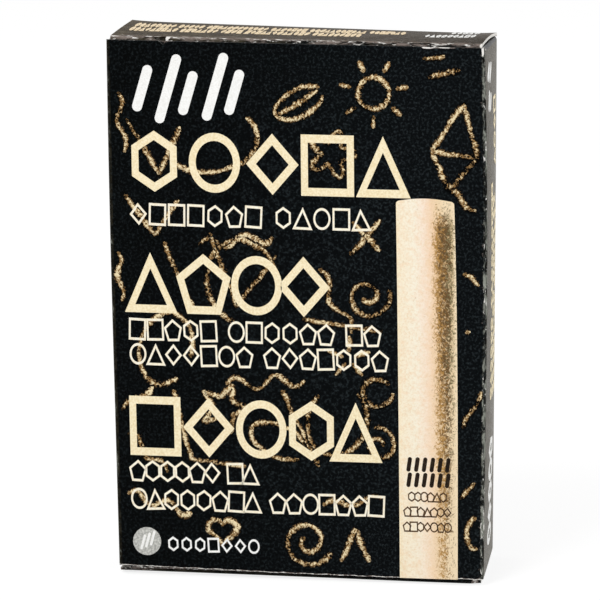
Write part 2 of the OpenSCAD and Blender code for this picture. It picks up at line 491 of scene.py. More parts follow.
def drawn_chalk_print(node, place, ink):
    """Chalk strokes as the press prints them: ochre crumbs about 0.4 mm apart, dragged along
    the stroke and broken up, with the black ground between them."""
    across = node("Attribute", attribute_name="across", out="Fac")
    side = node("ABSOLUTE", across)
    # a frame that follows the stroke: along it and across it, in metres
    off = node("MULTIPLY", across, ink.chalk_stroke / 2)
    slant = node("MULTIPLY_ADD", off, 0.35, node("Attribute", attribute_name="run", out="Fac"))
    own = node("CombineXYZ", slant, node("MULTIPLY", off, 0.75))
    crumb = node("TexNoise", own, sized(0.5), 3.0, 0.62, Distortion=1.2)
    coarse = node("TexNoise", place, sized(2.2), 3.0, 0.6, Distortion=0.4)
    press = node("MapRange", node("TexNoise", place, sized(11.0), 1.0), 0.34, 0.62, -0.12, 0.04)
    body = node("MULTIPLY_ADD", crumb, 1.7, node("MULTIPLY", coarse, 0.6))
    fall = node("MapRange", side, 0.3, 1.0, 0.0, 0.26)
    body = node("SUBTRACT", node("ADD", body, press), fall)
    brown = node("Mix", node("MapRange", side, 0.3, 0.9), ink.ochre, "#6F5536")
    base = node("Mix", node("MapRange", body, 1.15, 1.31), brown, ink.ochre_light)
    base = node("Mix", node("MapRange", body, 1.02, 1.06), ink.black, base)
    satin = {"Roughness": 0.4, "Specular_IOR_Level": VARNISH}
    return node("BsdfPrincipled", base, **satin)


# the printed stick's tone from its lit edge to its shaded edge
STICK_TONES = {
    0.0: "#FFF2D2",
    0.07: "#FFF4DC",
    0.3: "#FFF8E6",
    0.46: "#FFECDA",
    0.6: "#F9D9BA",
    0.78: "#E3BC84",
    0.92: "#D3B88A",
    1.0: "#F1DDB8",
}


def printed_stick_shade(node, place, ink):
    """Halftone picture of a chalk stick: flat cream at the lit side, turning on the shaded side
    into brown and olive grains of about 0.25 mm, with a lighter edge."""
    side = node("Attribute", attribute_name="across", out="Fac")
    side = node("MULTIPLY_ADD", side, 0.5, 0.5)
    down = node("Attribute", attribute_name="along", out="Fac")
    uneven = node("MULTIPLY_ADD", node("TexNoise", place, sized(0.5), 4.0, 0.7), 0.3, -0.15)
    lit = node("ValToRGB", node("ADD", side, uneven))
    ramp = lit.node.color_ramp.elements
    while len(ramp) < len(STICK_TONES):
        ramp.new(0.5)
    for element, (spot, code) in zip(ramp, STICK_TONES.items()):
        element.position, element.color = spot, (*linear(code), 1.0)
    warm = node("Mix", node("MULTIPLY", down, 0.25), lit, "#FFF4D8")
    dust = node("MapRange", node("TexNoise", place, sized(0.34), 3.0, 0.65), 0.4, 0.72)
    warm = node("Mix", node("MULTIPLY", dust, 0.42), warm, "#EACB9A")
    # faint peach blotches of about 1 mm
    blotch = node("MapRange", node("TexNoise", place, sized(1.1), 4.0, 0.7), 0.46, 0.66)
    warm = node("Mix", node("MULTIPLY", blotch, 0.3), warm, "#F7D2A8")
    # a thin light rim, and a lighter edge at the foot
    ends = node("MAXIMUM", node("MapRange", down, 0.02, 0.09, 1.0, 0.0), down)
    ends = node("MULTIPLY", ends, node("MapRange", side, 0.5, 0.85, 0.0, 0.85))
    rim = node("MAXIMUM", ends, node("MapRange", side, 0.955, 0.985))
    warm = node("Mix", rim, warm, "#FAE6C4")
    # how densely the dark grains lie across the stick: thinner at its crown and lower end
    rise = node("MapRange", side, 0.5, 0.75)
    drop = node("MapRange", node("MULTIPLY_ADD", down, 0.1, side), 0.87, 1.06, 1.0, 0.3)
    crown = node("MapRange", down, -0.04, 0.1)
    foot = node("MapRange", down, 0.15, 0.65, 1.0, 0.8)
    foot = node("MULTIPLY", foot, node("MapRange", down, 0.72, 0.95, 1.0, 0.8))
    dense = node("MULTIPLY", node("MULTIPLY", node("MULTIPLY", rise, drop), crown), foot)
    mark = node("Mapping", place, Scale=(1.0, 1.0, 0.8))
    mark = node("TexNoise", mark, sized(0.62), 4.0, 0.64, Distortion=2.0)
    mark = node("MapRange", node("ADD", mark, node("MULTIPLY", dense, 0.36)), 0.62, 0.84)
    # golden grains first, then dark brown ones, and olive ones on the far side
    mixed = node("MULTIPLY_ADD", node("TexNoise", place, sized(0.34), 3.0, 0.65), 0.7, -0.35)
    mixed = node("ADD", side, mixed)
    # the grains are more golden towards the foot
    mixed = node("SUBTRACT", mixed, node("MapRange", down, 0.35, 1.0, 0.0, 0.12))
    tone = node("Mix", node("MapRange", mixed, 0.62, 0.84), "#B4894C", "#59422A")
    tone = node("Mix", node("MapRange", mixed, 0.83, 0.96), tone, "#767050")
    base = node("Mix", mark, warm, tone)
    fleck = node("MapRange", node("TexNoise", place, sized(0.2), 4.0, 0.7), 0.3, 0.72)
    base = node("Mix", node("MULTIPLY", fleck, 0.12), base, "#C79E66")
    satin = {"Roughness": 0.42, "Specular_IOR_Level": VARNISH}
    return node("BsdfPrincipled", base, **satin)


def pressed_chalk(node, place, ink):
    """Moulded ivory chalk, gypsum pressed dense: quite matt and powdery, with hollows of about
    0.4 mm and a few darker specks."""
    cloud = node("MapRange", node("TexNoise", place, sized(4.0), 3.0), 0.3, 0.7)
    base = node("Mix", cloud, ink.chalk, "#E9DCBC")
    each = node("Attribute", attribute_name="stick_tone", out="Fac")
    base = node("Mix", node("MULTIPLY", each, 0.25), base, "#F6F0DF")
    speck = node("MapRange", node("TexNoise", place, sized(0.35)), 0.7, 0.78)
    base = node("Mix", node("MULTIPLY", speck, 0.5), base, "#CDBB93")
    powder = node("TexNoise", place, sized(0.3), 5.0, 0.7)
    bump = node("Bump", 0.7, 0.04 * MM, Height=powder)
    matt = {"Roughness": 0.95, "Specular_IOR_Level": 0.15, "Sheen_Weight": 0.08}
    return node("BsdfPrincipled", base, Normal=bump, **matt)


# each finish: its real name, what makes its nodes, and how it differs from others of its kind
FINISHES = {
    "board": ("varnished_black_board", black_board),
    "side": ("rubbed_black_board", black_board, 0.018, 0.13, 0.07, 0.05, "#E8CC88"),
    "fold": (
        *("folded_black_board", black_board, 0.012, 0.1, 0.05, 0.012, WARM, (1, 1, 0.4)),
        "#8A8D84",
    ),
    "lid": ("dulled_black_board", black_board, 0.003, 0.078, 0.2, 0.1, "#DDB070", (0.3, 1, 1)),
    "underside": ("scuffed_black_board", black_board, 0.008, 0.05, 0.09),
    "inside": ("unprinted_greyboard", grey_board),
    "edge": ("die_cut_board_edge", cut_edge),
    # cut edges that are mostly dark: partly crept ink, partly painted shade of the gaps beside them
    "inked_edge": ("inked_board_edge", cut_edge, 0.22, 0.42),
    "doodle": ("printed_chalk_strokes", drawn_chalk_print),
    "stick_print": ("printed_halftone_cream", printed_stick_shade),
    "chalk": ("pressed_ivory_chalk", pressed_chalk),
    "cream": ("cream_ink", printed_ink, "cream", "#F0DDB2"),
    "white": ("white_ink", printed_ink, "white", "#F1F0EC"),
    "pale": ("pale_cream_ink", printed_ink, "#FFFAEA", "#F8EACC"),
    "dark": ("dark_brown_ink", printed_ink, "#1B1512", "#33291F"),
    "brown": ("thin_brown_ink", printed_ink, "#3B2A1F", "#6A5036"),
    "gold": ("golden_cream_ink", printed_ink, "#FFECCB", "#EBD0A2"),
    "grey": ("grey_ink", printed_ink, "#A3A39E", "#D8D8D2"),
}


def finish(k, key):
    """One of the box's finishes, made when it is first asked for."""
    name, make, *look = FINISHES[key]
    material = bpy.data.materials.get(name)
    if not material:
        material, node = finish_of(name)
        node("OutputMaterial", make(node, node("TexCoord", out="Object"), k.ink, *look))
    return material


# ---- the folded card -------------------------------------------------------

TAB_WIDTH, TAB_SLANT, GLUE = 10.0, 4.0, 0.02  # glue tab and the glue on it, mm
SEAM_STEP = 0.3  # how far the glued panel's raw edge stops short of the back, mm
SHOULDER, DUST_CORNER, DUST_GAP = 2.5, 2.0, 0.5  # dust flap, mm
BARE_FROM = 3.0  # how far down a tuck flap its black print ends, mm
TUCK_LEAN, TUCK_START = 0.12, 0.25  # of a tuck flap's free edge and of its inner face, mm
FOLD_STEPS, CREASE_STEPS = 9, 19  # places round a fold of the sleeve and of a lid


def rows(low, high):
    """Heights up a panel: close together near its two cut edges."""
    ends = np.array([0, 0.08, 0.18, 0.32, 0.55, 0.9, 1.5, 2.5, 4.2, 6.5])
    between = np.linspace(low + ends[-1], high - ends[-1], 27)[1:-1]
    return np.concatenate([low + ends, between, high - ends[::-1]])


def front_edges(k):
    """The front's cut edges, from right to left: a nick in the upper one at the top left, and a
    lower one that isn't quite level."""
    xs = np.concatenate([np.arange(-29.4, 29.4, 0.6), np.arange(-22.6, -19.2, 0.13)])
    xs = np.sort(xs)[::-1]
    nick = 0.55 * np.exp(-(((xs + 20.9) / 0.42) ** 2)) + 0.12 * np.exp(-(((xs + 20.2) / 0.5) ** 2))
    ragged = 0.03 * np.sin(xs * 1.7) + 0.02 * np.sin(xs * 4.3 + 1)
    places = (-30, -26, -20, -13, -4, 8, 18, 26, 30)
    low = ragged + np.interp(xs, places, (1.29, 1.24, 1.11, 1.04, 0.85, 0.77, 0.7, 0.82, 0.85))
    return xs, low, k.front_high - nick + 0.3 * ragged


def sleeve(k):
    """Glue tab, back, right, front and left panels in one sheet, from the tab's free edge round
    to the left panel's raw edge."""
    lines = []  # outer and inner place of each line up the sheet, and its two ends
    folds = []  # number of the middle line of each fold

    def line(outer, inner, low, high):
        ends = np.broadcast_to(low, len(outer)), np.broadcast_to(high, len(outer))
        lines.append(np.column_stack([outer, inner, *ends]))

    def flat(start, end, out, places, low, high):
        start = np.array(start)
        outer = start + (np.array(end) - start) * np.array(places)[:, None]
        line(outer, outer - np.array(out) * k.t, low, high)

    def fold(x, y, first, low, high):
        turn = np.radians(np.linspace(first, first - 90, FOLD_STEPS))
        way = np.column_stack([np.cos(turn), np.sin(turn)])
        line((x, y) + k.fo * way, (x, y) + k.fi * way, low, high)
        folds.append(sum(map(len, lines)) - (FOLD_STEPS + 1) // 2)

    low, high = k.side_low, k.side_high
    tab_x = -k.hw + k.t + GLUE
    back_y, front_y = k.hd - k.fo, -k.hd + k.fo
    down = np.linspace(0, 0.995, 8)
    slant = TAB_SLANT * (1 - down)
    flat((tab_x, back_y - TAB_WIDTH), (tab_x, back_y), (-1, 0), down, low + slant, high - slant)
    fold(tab_x + k.fo, back_y, 180, low, high)
    inset = 0.05 / (k.w - 2 * k.fo)
    across = np.concatenate([[inset], np.linspace(0.02, 0.98, 30), [1 - inset]])
    flat((tab_x + k.fo, k.hd), (k.hw - k.fo, k.hd), (0, 1), across, k.fo, k.h - k.fo)
    fold(k.hw - k.fo, back_y, 90, low, high)
    side = np.linspace(0.003, 0.997, 16)
    flat((k.hw, back_y), (k.hw, front_y), (1, 0), side, low, high)
    xs, front_low, front_high = front_edges(k)
    fold(k.hw - k.fo, front_y, 0, front_low[0], k.front_high)
    front = np.column_stack([xs, np.full(len(xs), -k.hd)])
    line(front, front + (0, k.t), front_low, front_high)
    fold(-k.hw + k.fo, front_y, -90, front_low[-1], k.front_high)
    flat((-k.hw, front_y), (-k.hw, k.hd - SEAM_STEP), (-1, 0), side, low, high)

    lines = np.concatenate(lines)
    outer, lows, highs = lines[:, :2], lines[:, 4:5], lines[:, 5:]
    heights = np.array([rows(a, b) for a, b in lines[:, 4:]])
    grids = [
        k.rack(k.bow(points(lines[:, i : i + 1], lines[:, i + 1 : i + 2], heights))) for i in (0, 2)
    ]
    # wear: strongest at the cut edges and on the folds
    run = np.concatenate([[0], np.cumsum(np.linalg.norm(np.diff(outer, axis=0), axis=1))])
    worn = np.zeros(heights.shape)
    rng = np.random.default_rng(5)
    # the front-right fold is rubbed hardest and widest: partly real wear, partly painted sheen
    # where the fold turns towards a grazing view
    for place, strength, reach in zip(folds, (0.3, 0.45, 0.72, 0.5), (0.1, 0.1, 0.36, 0.1)):
        # rubbed more in some places than in others, which change every 2 to 3 mm
        uneven = np.interp(heights, np.linspace(0, k.h, 36), rng.uniform(0.6, 1.0, 36))
        crest = strength * near(abs(run - run[place]) - reach, 0.26)
        worn = most(worn, crest[:, None] * uneven)
    bottom, top = heights - lows, highs - heights
    x, y = outer[:, :1], outer[:, 1:]
    # a white fibre stands up where the front is cut free of the side's dust flap
    tick = (abs(x - k.hw + 0.3) < 0.15) & (y < front_y + 0.02) & (highs > high + 0.1)
    # the lower right corner is frayed, and the cut edge beside it has lost its ink
    fray = (y < front_y + 0.2) * near(bottom, 0.5)
    worn = most(
        worn,
        1.15 * near(bottom - 0.06, 0.07),
        0.4 * near(top, 0.14),
        1.7 * tick * (top < 1.35),
        1.6 * fray * near(abs(x - 29.3), 0.45),
        1.3 * fray**3 * (x > 25.7),
    )
    # a torn white patch at the front's upper edge, with a fainter tail
    for place, reach, depth in ((21.1, 1.2, 0.28), (23.6, 2.4, 0.17)):
        patch = np.clip(1 - abs(x - place) / reach, 0, 1) * (y < front_y)
        worn = most(worn, 1.6 * patch**0.5 * (top < depth))
    # the narrow side panels are the ones that hands rub, and the folds have lost their varnish
    middle = (outer[1:] + outer[:-1]) / 2
    sides = (abs(middle[:, :1]) > k.hw - 0.03) & (abs(middle[:, 1:]) < back_y)
    bent = (abs(middle[:, :1]) > k.hw - k.fo) & ~sides
    outside = np.where(sides, SIDE, np.where(bent, BENT, OUTSIDE))
    part = slab(*grids, wear=worn, outside=outside)
    # its cut edges are darkened: partly ink that the press has carried over them, partly painted
    # shade of the dark gaps beside the lids' folds
    part["kinds"][part["kinds"] == RIM] = SHADED_RIM
    return part


def dust_flap(k, x_sign, top):
    """A dust flap and the fold that carries it on from the side panel."""
    y0, y1 = k.tuck_y + k.t + DUST_GAP, k.hd - k.t - DUST_GAP
    r, reach = DUST_CORNER, k.dust - k.fo
    ring = np.radians(np.linspace(0, 90, 8))
    curve = reach - r + r * np.sin(np.radians(np.linspace(0, 90, 9)))
    straight = np.linspace(SHOULDER, reach - r, 8)
    along = np.concatenate([np.linspace(0.02, SHOULDER, 6), straight[1:], curve[1:]])
    end = np.concatenate([np.zeros(len(ring)), along])
    tight = np.clip(end - (reach - r), 0, r)
    round_off = r - np.sqrt(np.maximum(r * r - tight * tight, 0))
    first = (y0 + round_off)[:, None]
    last = (y1 - np.minimum(end, SHOULDER) - round_off)[:, None]
    spread = first + (last - first) * np.linspace(0, 1, 15)
    grids = []
    for radius in (k.fo, k.fi):
        x = np.concatenate([np.cos(ring) * radius, -along]) + k.hw - k.fo
        z = k.side_high + np.concatenate([np.sin(ring) * radius, np.full(len(along), radius)])
        # the free end of a top one droops a little towards the sticks
        z = z - 0.25 * (end / reach) ** 2 if top else k.h - z
        grids.append(k.rack(k.bow(points(x_sign * x[:, None], spread, z[:, None]))))
    worn = 0.55 * near(np.minimum(spread - first, last - spread), 0.3)
    worn[: len(ring)] = most(worn[: len(ring)], 0.4)
    return slab(*grids, wear=worn)


def lid_xs(k):
    """Places across a lid: close together near its ends."""
    ends = np.array([0, 0.15, 0.4, 0.9, 1.8, 3.2])
    middle = np.linspace(-k.lid + 5, k.lid - 5, 30)
    middle = np.sort(np.concatenate([middle, np.arange(-21.7, -19.3, 0.2)]))
    return np.concatenate([-k.lid + ends, middle, k.lid - ends[::-1]])


def flipped(k, grid, top):
    """Grids are laid out for the top closure; the bottom one is its mirror image, and lies a
    little further left."""
    if top:
        return k.rack(k.lift(grid))
    grid[..., 2] = k.h - grid[..., 2]
    grid[..., 0] -= 0.42 * np.clip(-grid[..., 0] / k.lid, 0, 1) ** 6
    return k.rack(grid)


def lid_panel(k, top):
    """A lid's flat part, between its two folds."""
    ys, xs = np.linspace(k.tuck_y + k.fo, k.hd - k.fo, 22)[:, None], lid_xs(k)
    grids = [flipped(k, points(xs, ys, z), top) for z in (k.h, k.h - k.t)]
    if not top:
        for grid in grids:
            grid[..., 2] -= k.sag(grid)
    front, back = ys - ys[0], ys[-1] - ys
    worn = most(
        0.75 * near(k.lid - abs(xs), 0.22),
        0.7 * near(front, 0.35),
        0.62 * near(front, 4.5),
        0.4 * near(back, 0.4),
    )
    return slab(*grids, wear=worn)


def crease_line(k, hinge):
    """Where the middle of a lid's hinge or tuck fold lies along the carton, as y and z."""
    return k.hd - k.fo if hinge else k.tuck_y + k.fo, k.h - k.fo


def crease(k, top, hinge):
    """The bent strip at a lid's hinge, or between a lid and its tuck flap."""
    xs = lid_xs(k)
    angles = np.radians(np.linspace(0 if hinge else 180, 90, CREASE_STEPS))[:, None]
    cy, cz = crease_line(k, hinge)
    grids = []
    for r in (k.fo, k.fi):
        grid = flipped(k, points(xs, cy + r * np.cos(angles), cz + r * np.sin(angles)), top)
        if not top and not hinge:
            # only the lid's side of the fold hangs down, the tuck flap's side stays
            grid[..., 2] -= k.sag(grid) * (0.5 - 0.5 * np.cos(2 * angles))
        grids.append(grid)
    # the top tuck fold is the one that is pushed in and pulled out, so it has rubbed most; the
    # bottom one is kept barely rubbed, and so dark, as painted shade of the contact shadow under
    # the front edge
    worn = np.full((len(angles), len(xs)), 0.45 if hinge else 0.78 if top else 0.2)
    if top and not hinge:
        turned = 2 * angles / np.pi - 1
        # less rubbed, so darker, where it turns down towards the front's edge: painted shade of the
        # gap there
        worn -= 0.3 * np.clip(turned - 0.35, 0, 1)
        # kept black at the front's nick as painted shade of the gap seen through it, with a white
        # spot beside it, and frayed white at its right end
        worn -= 0.7 * near(abs(xs + 21.0) - 0.2, 0.2)
        half = 0.04 + 0.36 * (1 - turned)
        spot = 1.6 * near(abs(xs + 20.5 - half) - half, 0.1)
        worn = most(worn, spot, 1.5 * near(k.lid - xs - 0.15, 0.3))
    if not top:
        # rubbed grey at its left end, and frayed white near its right one
        worn += 0.45 * (xs < -24.2)
        worn = most(worn, 1.4 * near(abs(xs - k.lid + 0.9), 0.3))
    return slab(*grids, wear=worn)


def bend(k, piece, top, hinge):
    """Works out the middle line of a crease strip's fold and the way across it, and bakes the
    strip's place into its points.
    """
    cy, cz = crease_line(k, hinge)
    line = k.rack(points(np.array([-k.lid, k.lid, 0]), cy, cz if top else k.h - cz))
    along = line[1] - line[0]
    along /= np.linalg.norm(along)
    up = 1.0 if top else -1.0
    way = np.array([0, -1.0, up if hinge else -up])
    way -= along * way.dot(along)
    way *= k.fi * math.sqrt(0.5) / np.linalg.norm(way)
    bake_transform(piece)


def tuck_flap(k, top):
    """A tuck flap with its two rounded free corners."""
    z_top, r = k.h - k.fo, k.tuck_r
    tall = z_top - (k.h - k.tuck_len)
    curve = tall - r * (1 - np.sin(np.radians(np.linspace(0, 90, 12))))
    down = np.concatenate([np.linspace(0, tall - r, 10), curve[1:]])[:, None]
    rest = np.maximum(0, r - (tall - down))
    half = k.tuck - r + np.sqrt(np.maximum(r * r - rest * rest, 0))
    ends = np.array([-1, -0.995, -0.985, -0.96])
    share = np.concatenate([ends, np.linspace(-0.92, 0.92, 26), -ends[::-1]])
    grids = []
    for depth, from_top in ((0.0, 0), (k.t, TUCK_START)):
        # the free edge leans towards the front panel, and the inner face starts lower, which
        # leaves room at the crease when the flap folds in
        y = k.tuck_y + depth - TUCK_LEAN * (down / down[-1]) ** 2
        z = z_top - np.maximum(down, from_top)
        grids.append(flipped(k, points(half * share, y, z), top))
    edge = np.minimum(half * (1 - abs(share)), down[-1] - down)
    worn = most(0.5 * near(edge, 0.3), 0.9 * near(down, 0.5))
    # the black print ends below the fold, and bare board follows
    return slab(*grids, wear=worn, outside=np.where(down[:-1] > BARE_FROM, INSIDE, OUTSIDE))


# ---- flat print, laid on the panels ----------------------------------------

# how far below the card's face a printed figure and a sheet of ink start, mm
UNDER, SHEET_UNDER = 0.03, 0.02


def laid(mesh, place):
    """Moves the points of a mesh to where place puts them in mm."""
    flat = np.empty(len(mesh.vertices) * 3, np.float32)
    mesh.vertices.foreach_get("co", flat)
    moved = place(flat.reshape(-1, 3).astype(float) / MM) * MM
    mesh.vertices.foreach_set("co", moved.ravel().astype(np.float32))
    mesh.update()
    return mesh


def tree_of(name, *titles):
    """A geometry node tree with its named inputs, and the sockets that bring them in."""
    tree = bpy.data.node_groups.new(name, "GeometryNodeTree")
    for way in ("INPUT", "OUTPUT"):
        tree.interface.new_socket("Geometry", in_out=way, socket_type="NodeSocketGeometry")
    for title in titles:
        kind = {"Seed": "Int", "Material": "Material"}.get(title, "Float")
        made = tree.interface.new_socket(title, in_out="INPUT", socket_type="NodeSocket" + kind)
        if kind == "Float":
            made.subtype = "DISTANCE"
    return tree, add(tree, "NodeGroupInput").node.outputs


def ended(tree, geometry, material):
    """Realizes the instances, sets the material and ends the tree."""
    real = add(tree, "RealizeInstances", geometry)
    add(tree, "NodeGroupOutput", add(tree, "SetMaterial", real, Material=material))
    return tree


def grown(name, mesh, tree, **inputs):
    """The plain mesh that a tree makes from a base mesh and its inputs."""
    base = show(name + "_base", mesh)
    modifier = base.modifiers.new("Tree", "NODES")
    modifier.node_group = tree
    for socket in tree.interface.items_tree:
        if socket.in_out == "INPUT" and socket.name in inputs:
            modifier[socket.identifier] = inputs[socket.name]
    dg = bpy.context.evaluated_depsgraph_get()
    made = bpy.data.meshes.new_from_object(base.evaluated_get(dg))
    base.modifiers.remove(modifier)
    bpy.data.objects.remove(base)
    made.name = name
    return made


# outline figures as corners, height when the radius is 1, turn in degrees and lift of centre
FIGURES = [
    (36, 2.0, 0.0, 0.0),
    (4, math.sqrt(2), 45.0, 0.0),
    (3, 1.5, 90.0, -0.25),
    (4, 2.0, 0.0, 0.0),
    (5, 1.809, 90.0, -0.095),
    (6, 2.0, 30.0, 0.0),
]
ROUND, SQUARE, WEDGE, KITE, FIVE, SIX = range(6)
SIDE_CUTS = 5  # in each side of a figure with corners, so that it follows a bulging panel
ROD_RINGS, ROD_SIDES = 58, 44
WORD_GAP = 0.55  # gap between groups of figures, for a pitch of 1


def figure_tree():
    """Outline figures of even stroke, one at each point, picked by its kind."""
    tree, given = tree_of("Outline Figures", "Height", "Stroke", "Ink", "Material")
    node = partial(add, tree)
    up = node("CombineXYZ", Z=given["Ink"])
    picks = []
    for corners, tall, turn, drop in FIGURES:
        radius = node("DIVIDE", given["Height"], tall)
        is_round = corners > 6
        if is_round:
            # a ring of full height would look taller than the other figures
            radius = node("MULTIPLY", radius, 0.98)
        inset = node("DIVIDE", given["Stroke"], math.cos(math.pi / corners))
        radii = (radius, node("SUBTRACT", radius, inset))
        circles = [node("CurvePrimitiveCircle", corners, r) for r in radii]
        lines = [node("SubdivideCurve", circle, 0 if is_round else SIDE_CUTS) for circle in circles]
        ring = node("FillCurve", node("JoinGeometry", lines), mode="TRIANGLES")
        shift = node("CombineXYZ", Y=node("MULTIPLY", radius, drop))
        turned = node("Transform", ring, shift, (0, 0, math.radians(turn)))
        raised = node("ExtrudeMesh", turned, Offset=up, Offset_Scale=1.0, Individual=False)
        both = node("JoinGeometry", [raised, node("FlipFaces", turned)])
        closed = node("MergeByDistance", both, Distance=1e-7)
        picks.append(node("GeometryToInstance", closed))
    turn = node("InputNamedAttribute", "turn")
    wide = node("InputNamedAttribute", "wide")
    placed = node(
        "InstanceOnPoints",
        given["Geometry"],
        Instance=node("JoinGeometry", picks[::-1]),
        Pick_Instance=True,
        Instance_Index=node("InputNamedAttribute", "kind", data_type="INT"),
        Rotation=node("CombineXYZ", Z=turn),
        Scale=node("CombineXYZ", wide, 1.0, 1.0),
    )
    return ended(tree, placed, given["Material"])


def stroke_tree():
    """Chalk strokes: flat ribbons along drawn lines, unsteady in course and width."""
    tree, given = tree_of("Chalk Strokes", "Width", "Ink", "Step", "Wobble", "Material")
    node = partial(add, tree)
    course = node("MeshToCurve", given["Geometry"])
    even = node("ResampleCurve", course, mode="LENGTH", Length=given["Step"])
    where = node("InputPosition")
    shake = node("TexNoise", where, sized(3.2), 2.0, normalize=False, out="Color")
    push = node("VectorMath", shake, (1.0, 1.0, 0.0), operation="MULTIPLY")
    shift = node("VectorMath", push, Scale=given["Wobble"], operation="SCALE")
    moved = node("SetPosition", even, Offset=shift)
    along = node("SplineParameter", out="Length")
    run = node("StoreNamedAttribute", moved, Name="run", Value=along)
    level = node("SetCurveNormal", run, mode="Z_UP")
    profile = node("CurvePrimitiveQuadrilateral", given["Width"], given["Ink"])
    across = node("DIVIDE", node("SeparateXYZ", where), node("MULTIPLY", given["Width"], 0.5))
    marked = node("StoreNamedAttribute", profile, Name="across", Value=across)
    rest = node("SUBTRACT", node("SplineLength"), along)
    tip = node("DIVIDE", node("MINIMUM", along, rest), 0.7 * MM, use_clamp=True)
    press = node("TexNoise", where, sized(4.5))
    wide = node("MULTIPLY_ADD", press, 1.2, 0.3)
    wide = node("MULTIPLY", wide, node("MULTIPLY_ADD", tip, 0.45, 0.55))
    ribbon = node("CurveToMesh", level, marked, wide, True)
    return ended(tree, ribbon, given["Material"])


def stick_tree():
    """Pressed sticks: a tapered rod with rounded end edges, one at each point."""
    titles = ("Diameter", "Taper", "Length", "Edge", "Rough", "Seed", "Material")
    tree, given = tree_of("Chalk Sticks", *titles)
    node = partial(add, tree)
    tall, edge = given["Length"], given["Edge"]
    line = node("CurvePrimitiveLine", (0, 0, 0), node("CombineXYZ", Z=tall))
    cut = node("ResampleCurve", line, Count=ROD_RINGS)
    # rings lie close together near the ends, as on a cosine
    swing = node("COSINE", node("MULTIPLY", node("SplineParameter", out="Factor"), math.pi))
    height = node("MULTIPLY", node("MULTIPLY_ADD", swing, -0.5, 0.5), tall)
    spaced = node("SetPosition", cut, Position=node("CombineXYZ", Z=height))
    where = node("InputPosition")
    z = node("SeparateXYZ", where, out="Z")
    end = node("MINIMUM", z, node("SUBTRACT", tall, z))
    deep = node("MAXIMUM", node("SUBTRACT", edge, end), 0.0)
    flank = node("SUBTRACT", node("MULTIPLY", edge, edge), node("MULTIPLY", deep, deep))
    flank = node("SQRT", node("MAXIMUM", flank, 0.0))
    slim = node("MULTIPLY", given["Taper"], node("DIVIDE", z, tall))
    full = node("MULTIPLY", node("SUBTRACT", given["Diameter"], slim), 0.5)
    radius = node("ADD", node("SUBTRACT", full, edge), flank)
    ring = node("CurvePrimitiveCircle", ROD_SIDES, 1.0)
    rod = node("SetShadeSmooth", node("CurveToMesh", spaced, ring, radius, True))
    tone = node("RandomValue", ID=node("InputIndex"), Seed=given["Seed"])
    toned = node("StoreNamedAttribute", given["Geometry"], Name="stick_tone", Value=tone)
    real = node("RealizeInstances", node("InstanceOnPoints", toned, Instance=rod))
    pits = node("TexNoise", where, sized(2.2), 4.0)
    depth = node("MULTIPLY", node("SUBTRACT", pits, 1.0), given["Rough"])
    inward = node("VectorMath", node("InputNormal"), Scale=depth, operation="SCALE")
    return ended(tree, node("SetPosition", real, Offset=inward), given["Material"])


def spots(name, places):
    """Base points with the figure at each: across, up, kind, turn in degrees and how wide it is
    for its height."""
    across, up, kinds, turns, widths = np.array(places, float).T
    mesh = bpy.data.meshes.new(name)
    mesh.from_pydata((points(across, up, -UNDER) * MM).tolist(), [], [])
    mark(mesh, "kind", kinds, "INT")
    mark(mesh, "turn", np.radians(turns))
    mark(mesh, "wide", widths)
    return mesh


def figures(k, name, places, height, stroke, ink, panel="front", proud=0.03, body="box"):
    """Prints a set of outline figures on a panel, all of one height and stroke."""
    mesh = grown(
        name,
        spots(name, places),
        bpy.data.node_groups.get("Outline Figures") or figure_tree(),
        Height=height * MM,
        Stroke=stroke * MM,
        Ink=(UNDER + proud) * MM,
        Material=finish(k, ink),
    )
    ridden(show(name, laid(mesh, partial(k.placed, panel))), body)


def word_row(rng, x0, x1, z, words, wide=0.78):
    """A row of small figures from x0 to x1, in groups with a gap between them."""
    pitch = (x1 - x0) / (sum(words) + WORD_GAP * (len(words) - 1))
    made, x = [], x0 + pitch / 2
    for word in words:
        for _ in range(word):
            kind = int(rng.integers(0, len(FIGURES)))
            made.append((x, z, kind, float(rng.uniform(-3, 3)), wide))
            x += pitch
        x += WORD_GAP * pitch
    return made


def strokes(k, name, lines, panel):
    """Prints drawn chalk strokes on a panel, along lines of points in mm."""
    line_points, edges = [], []
    for n, line in enumerate(lines):
        start = len(line_points)
        edges += [(start + i, start + i + 1) for i in range(len(line) - 1)]
        # each stroke lies a hair above the one before it
        line_points += [(x * MM, z * MM, (0.004 + 0.00005 * n) * MM) for x, z in line]
    base = bpy.data.meshes.new(name)
    base.from_pydata(line_points, edges, [])
    mesh = grown(
        name,
        base,
        bpy.data.node_groups.get("Chalk Strokes") or stroke_tree(),
        Width=k.ink.chalk_stroke,
        Ink=0.024 * MM,
        Step=0.35 * MM,
        Wobble=0.2 * MM,
        Material=finish(k, "doodle"),
    )
    ridden(show(name, laid(mesh, partial(k.placed, panel))))


def ink_sheet(k, panel, across, up, out):
    """A closed sheet of ink on a panel, from grids of places across and up it in mm."""
    part = slab(*[k.placed(panel, points(across, up, z)) for z in (out, -SHEET_UNDER)])
    part["kinds"][:] = OUTSIDE
    return part


